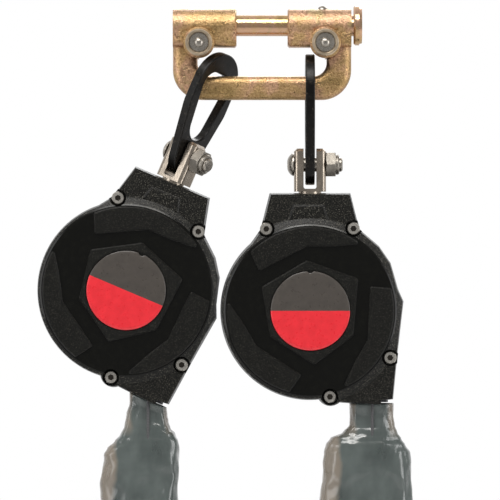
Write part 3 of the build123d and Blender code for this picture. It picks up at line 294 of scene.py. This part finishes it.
def label_face(split):
    """Round label: dark grey above a straight line, red below it, under a thin clear skin."""
    m = Shader("label_face")
    below = m.math("LESS_THAN", m.axis("Z"), split)
    grey = m.ramp(m.noise(300, 3), (0.3, (0.038, 0.032, 0.027)), (0.7, (0.052, 0.044, 0.037)))
    red = m.ramp(m.noise(220, 3), (0.3, (0.56, 0.010, 0.018)), (0.7, (0.66, 0.016, 0.026)))
    return m.set(base_color=m.mix(below, grey, red), roughness=m.ramp(m.noise(500, 2), (0.3, 0.26), (0.7, 0.36)),
                 coat_weight=0.4, coat_roughness=0.12, normal=m.bump(m.noise(700, 2), 0.06, 0.0002))


MATS = {
    "zinc": zinc("forged_zinc", 1.0, 0.31),
    "gold": zinc("turned_zinc", 0.05, 0.20),
    "button": bright("button_steel", (0.62, 0.50, 0.36), 0.34, 0.40, depth=0.6, scale=700),
    "screw": socket_screw(),
    "bright": bright("bright_steel", (0.36, 0.33, 0.29), 0.27, 0.25, depth=0.05),
    "nut": bright("nut_steel", (0.30, 0.275, 0.24), 0.42, 0.35, depth=0.04),
    "nickel": bright("nickel_steel", (0.43, 0.37, 0.305), 0.25, 0.34, (1, 1, 0.25), 0.10),
    "inner": bright("pressed_steel", (0.60, 0.60, 0.58), 0.36),
    "spring": bright("spring_strip", (0.22, 0.24, 0.28), 0.30),
    "black": black_steel(),
    "housing": housing_plastic(),
    "drum": plain_plastic("drum_plastic", (0.12, 0.12, 0.13), 0.42),
    "guide": plain_plastic("guide_plastic", (0.022, 0.022, 0.025), 0.22),
    "web": woven("line_webbing", (0.115, 0.115, 0.12), "Y"),
    "tear": woven("tear_webbing", (0.050, 0.082, 0.088)),
    "film": film(),
    "gate": bright("gate_steel", (0.52, 0.51, 0.48), 0.36, 0.18, depth=0.25),
    "label": label_face(0.0),
}
KIND = {
    "connector_frame": "zinc", "lock_pin": "gold", "pin_stop_screw": "bright", "button_bush": "button",
    "lock_button": "bright", "button_spring": "spring", "anchor_link": "black", "swivel_clevis": "nickel",
    "clevis_bolt": "bright", "clevis_nut": "nut", "swivel_nut": "inner", "load_frame": "inner", "axle": "inner",
    "drum": "drum", "wound_webbing": "web", "ratchet_ring": "inner", "pawl_a": "inner", "pawl_b": "inner",
    "power_spring": "spring", "front_cover": "housing", "rear_cover": "housing", "cover_screws": "screw",
    "webbing_guide": "guide", "webbing_run": "web", "webbing_tail": "web", "absorber_pack": "tear",
    "absorber_sleeve": "film", "hook_body": "zinc", "hook_gate": "gate", "hook_lock": "gate", "hook_rivets": "bright",
}
for name, obj in nodes.items():
    kind = KIND[name.removeprefix("left_").removeprefix("right_")]
    for slot in obj.material_slots:
        slot.material = MATS[kind]


# ---------------------------------------------------------------- helpers for pieces
def piece(name, mesh_builder, material, body, smooth=True, place=Matrix.Identity(4)):
    """Adds a mesh to the scene. It rides on body, unless that is None."""
    mesh = bpy.data.meshes.new(name)
    bm = bmesh.new()
    mesh_builder(bm)
    bmesh.ops.recalc_face_normals(bm, faces=bm.faces)
    bm.to_mesh(mesh)
    bm.free()
    obj = bpy.data.objects.new(name, mesh)
    bpy.context.scene.collection.objects.link(obj)
    obj.matrix_world = place
    mesh.materials.append(material)
    for face in mesh.polygons:
        face.use_smooth = smooth
    bpy.context.view_layer.update()
    if body:
        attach(obj, body)
    return obj


def rings(bm, sections):
    """Skins a list of closed rings of points, one quad strip between neighbours."""
    rows = [[bm.verts.new(p) for p in section] for section in sections]
    for low, high in zip(rows, rows[1:]):
        count = len(low)
        for i in range(count):
            j = (i + 1) % count
            bm.faces.new((low[i], low[j], high[j], high[i]))
    return rows


def between(table, where):
    """Eased interpolation in a table whose first column falls."""
    for a, b in zip(table, table[1:]):
        if where >= b[0]:
            t = (a[0] - where) / (a[0] - b[0])
            t = max(0.0, min(1.0, t))
            t = t * t * (3 - 2 * t)
            return [p + (q - p) * t for p, q in zip(a[1:], b[1:])]
    return list(table[-1][1:])


# ---------------------------------------------------------------- each leg's places, read from the joints
TAIL_IN_GUIDE = 0.002      # the strip of line starts this far up in the exit
LEG = {}
for side in ("left", "right"):
    drum = Vector(joints[f"{side}_drum_spin"]["pos_m"])
    up = Vector(joints[f"{side}_housing_swivel"]["axis"])
    lean = math.atan2(up.x, up.z)
    place = Matrix.Translation(drum) @ Matrix.Rotation(lean, 4, "Y")
    tail_low, tail_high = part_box(f"{side}_webbing_tail")
    LEG[side] = {"place": place, "lean": lean, "exit_x": (tail_low[0] + tail_high[0]) / 2,
                 "exit_z": tail_high[2] - TAIL_IN_GUIDE}


# ---------------------------------------------------------------- label discs
LABEL_R = 0.0219
NICK_R = 0.0018
NICK_DEPTH = 0.62          # depth of the nick, as a share of its radius
LABEL_SEAT = 0.0172        # floor of the recess ahead of the parting plane
# share of the outline and height above the seat (m)
LABEL_LEVELS = ((1.0, 0.0), (1.0, 0.0006), (0.985, 0.00078), (0.9, 0.00084), (0.55, 0.00088), (0.05, 0.0009))


def label_disc(bm):
    """A shallow pillow of a disc with a half-round nick at the top."""
    radius, nick, count = LABEL_R, NICK_R, 192
    outline = []
    for i in range(count):
        angle = math.pi / 2 + 2 * math.pi * (i + 0.5) / count
        p = Vector((radius * math.cos(angle), radius * math.sin(angle)))
        offset = p - Vector((0, radius))
        if offset.length < nick:
            p.y = radius - math.sqrt(max(0.0, nick ** 2 - p.x ** 2)) * NICK_DEPTH
        outline.append(p)
    rows = rings(bm, [[(p.x * k, -h, p.y * k) for p in outline] for k, h in LABEL_LEVELS])
    bm.faces.new(rows[-1])
    bm.faces.new(list(reversed(rows[0])))


for side in ("left", "right"):
    seat = LEG[side]["place"] @ Matrix.Translation((0, -LABEL_SEAT, 0))
    piece(f"{side}_label_disc", label_disc, MATS["label"], f"{side}_housing", True, seat)


# ---------------------------------------------------------------- tabs over the round bodies
# outline (x, z) about the drum axis and depth ahead of the parting plane, in mm
TAB_LEVELS = ((((-9.8, 58.8), (7.8, 58.8), (10.4, 50.0), (-12.6, 50.0)), 13.1),
              (((-8.4, 57.5), (6.7, 57.5), (8.8, 50.8), (-10.9, 50.8)), 14.06))


def tab(bm):
    """Sloped sides and face of the tab that stands on the top block."""
    rows = rings(bm, [[(x * MM, -depth * MM, z * MM) for x, z in outline] for outline, depth in TAB_LEVELS])
    bm.faces.new(rows[1])
    bm.faces.new(list(reversed(rows[0])))


for side in ("left", "right"):
    piece(f"{side}_tab", tab, MATS["housing"], f"{side}_housing", False, LEG[side]["place"])


# ---------------------------------------------------------------- sleeves
SLEEVE_TOP, SLEEVE_LENGTH, FILM = -1.0, 158, 0.45        # mm
# height from the exit, left edge and right edge from the exit's middle, half depth (mm)
SLEEVE = {
    "right": [(-1.5, -12.3, 12.3, 8.5), (-8, -12.0, 12.2, 7.5), (-13, -12.2, 12.9, 8.0), (-17, -15.5, 14.4, 9.0),
              (-20.5, -23.0, 16.6, 10.0), (-24, -25.4, 18.8, 11.0), (-28.5, -26.6, 21.2, 11.8),
              (-34, -27.4, 22.3, 12.2), (-52, -28.6, 22.2, 12.2), (-90, -27.4, 21.2, 12.0), (-130, -27.0, 20.6, 12.0),
              (-159, -26.4, 19.6, 11.6)],
    "left": [(-1.5, -10.4, 10.0, 8.5), (-6, -10.4, 10.2, 7.5), (-11, -12.2, 10.8, 8.0), (-16, -13.4, 12.4, 9.0),
             (-20, -15.6, 15.2, 10.0), (-24, -18.8, 16.8, 11.0), (-27.5, -22.6, 17.2, 11.6),
             (-31.5, -25.0, 17.0, 12.0), (-48, -26.4, 16.6, 12.2), (-90, -26.0, 17.6, 12.0), (-130, -26.4, 18.6, 12.0),
             (-159, -26.0, 18.6, 11.6)],
}


def sleeve_point(side, angle, drop, grow=0.0):
    """A point of the film: a flattened tube, gathered in pleats at the neck and dented lower down."""
    left, right, deep = between(SLEEVE[side], drop)
    middle, half = (left + right) / 2, (right - left) / 2
    c, s = math.cos(angle), math.sin(angle)
    x = math.copysign(abs(c) ** 0.72, c) * half
    y = math.copysign(abs(s) ** 0.62, s) * deep
    neck = max(0.0, 1 - abs(drop + 8) / 26)
    phase = 0.0 if side == "right" else 1.7
    pleat = 0.30 * neck * math.sin(7 * angle + phase + 0.12 * drop)
    seed = Vector((c * 1.3 + phase, s * 1.3, drop / 15))
    dent = 1.5 * noise.noise(seed) + 0.8 * noise.noise(seed * 2.3)
    push = grow + pleat + dent * (0.35 + 0.65 * min(1.0, -drop / 30))
    normal = Vector((c / max(half, 1), s / max(deep, 1))).normalized()
    x, y = x + normal.x * push * 0.7 + middle, y + normal.y * push
    return x, y


def make_sleeve(side):
    leg = LEG[side]

    def build(bm):
        count, steps = 120, 150
        outer, inner = [], []
        for k in range(steps + 1):
            t = k / steps
            drop = SLEEVE_TOP - SLEEVE_LENGTH * t
            ring_out, ring_in = [], []
            for i in range(count):
                angle = 2 * math.pi * i / count
                x, y = sleeve_point(side, angle, drop)
                xi, yi = sleeve_point(side, angle, drop, -FILM)
                # the top edge is cut along the leaning housing, and the hem is uneven
                lift = -x * math.tan(leg["lean"]) * max(0.0, 1 - t * 9)
                uneven = noise.noise(Vector((math.cos(angle) * 2, math.sin(angle) * 2, 5)))
                hem = 0.8 * uneven * max(0.0, t * 12 - 11)
                z = drop + lift + hem
                ring_out.append((x * MM, y * MM, z * MM))
                ring_in.append((xi * MM, yi * MM, z * MM))
            outer.append(ring_out)
            inner.append(ring_in)
        rings(bm, outer + list(reversed(inner)) + [outer[0]])
        bmesh.ops.remove_doubles(bm, verts=bm.verts, dist=1e-7)

    seat = Matrix.Translation((leg["exit_x"], 0, leg["exit_z"]))
    film_piece = piece(f"{side}_sleeve_film", build, MATS["film"], f"{side}_line", True, seat)
    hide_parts(f"{side}_absorber_sleeve")


# ---------------------------------------------------------------- absorber packs
# mm: the folded webbing's middle and ends from the exit, layers over its depth, half width, and the loop
PACK_OFFSET, PACK_TOP, PACK_BOTTOM = 3.5, 26.6, 153.4
PACK_LAYERS, PACK_DEPTH, PACK_HALF_WIDTH = 9, 18.6, 15.8
LOOP_TOP, LOOP_REACH, LOOP_SLACK, LOOP_HALF_WIDTH, LOOP_THICKNESS = 150, 7.3, 0.8, 10, 1.6


def strap(bm, path, width_axis, half, thick):
    """A flat strap of a given half width along width_axis, whose middle line follows path in the other two axes."""
    points = [Vector(p) for p in path]
    sections = []
    for i, p in enumerate(points):
        ahead = points[min(i + 1, len(points) - 1)] - points[max(i - 1, 0)]
        normal = ahead.cross(width_axis).normalized() * (thick / 2)
        rim = width_axis * half
        inset = width_axis * (half - thick * 0.35)
        sections.append([p + normal - inset, p + normal + inset, p + normal * 0.3 + rim, p - normal * 0.3 + rim,
                         p - normal + inset, p - normal - inset, p - normal * 0.3 - rim, p + normal * 0.3 - rim])
    rows = rings(bm, sections)
    bm.faces.new(list(reversed(rows[0])))
    bm.faces.new(rows[-1])


def make_pack(side):
    leg = LEG[side]
    x0, z0 = leg["exit_x"] - PACK_OFFSET * MM, leg["exit_z"]
    eye_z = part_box(f"{side}_absorber_pack")[0][2]

    def build(bm):
        across = Vector((1, 0, 0))
        top, bottom, layers = z0 - PACK_TOP * MM, z0 - PACK_BOTTOM * MM, PACK_LAYERS
        pitch = PACK_DEPTH * MM / layers
        path = []
        for k in range(layers):
            y = -PACK_DEPTH / 2 * MM + pitch * (k + 0.5)
            ends = (top, bottom) if k % 2 == 0 else (bottom, top)
            sign = 1 if k % 2 == 0 else -1
            for j in range(25):
                t = j / 24
                z = ends[0] + (ends[1] - ends[0]) * t
                wave = 0.10 * MM * math.sin(9 * t + k)
                path.append((x0 + 0.5 * MM * math.sin(k * 2.3), y + wave, z))
            if k < layers - 1:
                for j in range(1, 6):
                    a = math.pi * j / 6
                    path.append((x0 + 0.5 * MM * math.sin(k * 2.3), y + pitch / 2 - pitch / 2 * math.cos(a),
                                 ends[1] - sign * 0.9 * MM * math.sin(a)))
        strap(bm, path, across, PACK_HALF_WIDTH * MM, pitch * 0.86)

    folded = piece(f"{side}_folded_webbing", build, MATS["tear"], f"{side}_line")

    def loop(bm):
        """The webbing loop through the hook's eye."""
        across = Vector((1, 0, 0))
        reach, top = LOOP_REACH * MM, z0 - LOOP_TOP * MM
        path = [(x0, reach, top)]
        foot = eye_z + reach + LOOP_SLACK * MM
        for j in range(8):
            path.append((x0, reach, top + (foot - top) * (j + 1) / 8))
        for j in range(1, 13):
            a = math.pi * j / 12
            path.append((x0, reach * math.cos(a), foot - reach * 0.84 * math.sin(a)))
        for j in range(9):
            path.append((x0, -reach, foot + (top - foot) * j / 8))
        strap(bm, path, across, LOOP_HALF_WIDTH * MM, LOOP_THICKNESS * MM)

    piece(f"{side}_hook_loop", loop, MATS["web"], f"{side}_line")
    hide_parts(f"{side}_absorber_pack")


TAIL_HALF_WIDTH, TAIL_THICKNESS, TAIL_HELD = 9.9, 1.5, 2       # mm


def make_tail(side):
    """The strip of line between the exit and the folded webbing."""
    low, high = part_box(f"{side}_webbing_tail")
    middle = (low + high) / 2

    def build(bm):
        steps = 60
        path = [(middle.x, 0, high.z + (low.z - high.z) * i / steps) for i in range(steps + 1)]
        strap(bm, path, Vector((0, 1, 0)), TAIL_HALF_WIDTH * MM, TAIL_THICKNESS * MM)

    tail = piece(f"{side}_line_strip", build, MATS["web"], None)
    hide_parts(f"{side}_webbing_tail")
    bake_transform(tail)


for side in ("left", "right"):
    make_sleeve(side)
    make_pack(side)
    make_tail(side)

# ---------------------------------------------------------------- camera, light, floor
CAMERA_BACK, CAMERA_X, CAMERA_Z = 2.4, -0.0067, -0.1247
FIELD = 0.2778             # width of the picture at the part
SENSOR = 36                # mm
FLOOR_DROP, FLOOR_HALF = 0.03, 1.3
scene = bpy.context.scene
scene.view_settings.view_transform = "Standard"
camera = bpy.data.objects.new("camera", bpy.data.cameras.new("camera"))
scene.collection.objects.link(camera)
camera.location = (CAMERA_X, -CAMERA_BACK, CAMERA_Z)
camera.rotation_euler = (math.radians(90), 0, 0)
camera.data.lens = SENSOR * CAMERA_BACK / FIELD
camera.data.clip_end = 100
scene.camera = camera


def lamp(name, place, target, size, power, colour=(1, 1, 1)):
    """A rectangular lamp turned towards its target."""
    light = bpy.data.objects.new(name, bpy.data.lights.new(name, "AREA"))
    scene.collection.objects.link(light)
    light.location = place
    light.rotation_euler = (Vector(target) - Vector(place)).to_track_quat("-Z", "Y").to_euler()
    light.data.shape = "RECTANGLE"
    light.data.size, light.data.size_y = size
    light.data.energy = power
    light.data.color = colour


middle = (0, 0, -0.15)
lamp("key_top", (-0.25, -0.55, 0.75), middle, (0.7, 0.5), 9.0, (1.0, 0.985, 0.96))
lamp("fill_left", (-0.95, -0.7, 0.0), middle, (0.5, 0.9), 4.5)
lamp("fill_right", (0.95, -0.6, -0.05), middle, (0.4, 0.9), 5.0)
lamp("rim_back", (0.2, 0.8, 0.5), middle, (0.8, 0.4), 5.0)
lamp("strip_top", (0.10, -0.62, 0.50), (0.01, 0, 0), (0.5, 0.06), 1.6, (1.0, 0.97, 0.92))

world = bpy.data.worlds.new("studio")
scene.world = world
world.use_nodes = True
tree = world.node_tree
background = tree.nodes["Background"]
background.inputs["Color"].default_value = (0.80, 0.80, 0.80, 1)
background.inputs["Strength"].default_value = 0.45
white = tree.nodes.new("ShaderNodeBackground")
white.inputs["Color"].default_value = (1, 1, 1, 1)
white.inputs["Strength"].default_value = 1.0


def world_math(operation, first, second):
    """A maths node of the world's tree."""
    item = tree.nodes.new("ShaderNodeMath")
    item.operation = operation
    for socket, value in zip(item.inputs, (first, second)):
        if isinstance(value, bpy.types.NodeSocket):
            tree.links.new(value, socket)
        else:
            socket.default_value = value
    return item.outputs[0]


# the backdrop is white to the camera, and metal and film show it too where they face the back
path_node = tree.nodes.new("ShaderNodeLightPath")
direction = tree.nodes.new("ShaderNodeSeparateXYZ")
tree.links.new(tree.nodes.new("ShaderNodeTexCoord").outputs["Generated"], direction.inputs[0])
backward = tree.nodes.new("ShaderNodeMapRange")
tree.links.new(direction.outputs["Y"], backward.inputs["Value"])
backward.inputs["From Min"].default_value = -0.35
backward.inputs["From Max"].default_value = 0.30
shown = world_math("MAXIMUM", path_node.outputs["Is Glossy Ray"], path_node.outputs["Is Transmission Ray"])
shown = world_math("MULTIPLY", shown, backward.outputs["Result"])
shown = world_math("MAXIMUM", shown, path_node.outputs["Is Camera Ray"])
mixer = tree.nodes.new("ShaderNodeMixShader")
tree.links.new(shown, mixer.inputs[0])
tree.links.new(background.outputs[0], mixer.inputs[1])
tree.links.new(white.outputs[0], mixer.inputs[2])
tree.links.new(mixer.outputs[0], tree.nodes["World Output"].inputs["Surface"])

floor = bpy.data.objects.new("floor", bpy.data.meshes.new("floor"))
floor_z = cad_box[0].z - FLOOR_DROP
corners = ((-1, -1), (1, -1), (1, 1), (-1, 1))
floor.data.from_pydata([(x * FLOOR_HALF, y * FLOOR_HALF, floor_z) for x, y in corners], [], [(0, 1, 2, 3)])
scene.collection.objects.link(floor)
pale = Shader("pale_floor")
grey = pale.ramp(pale.noise(3, 2), (0.3, 0.80), (0.7, 0.84))
floor.data.materials.append(pale.set(base_color=grey, roughness=0.7))
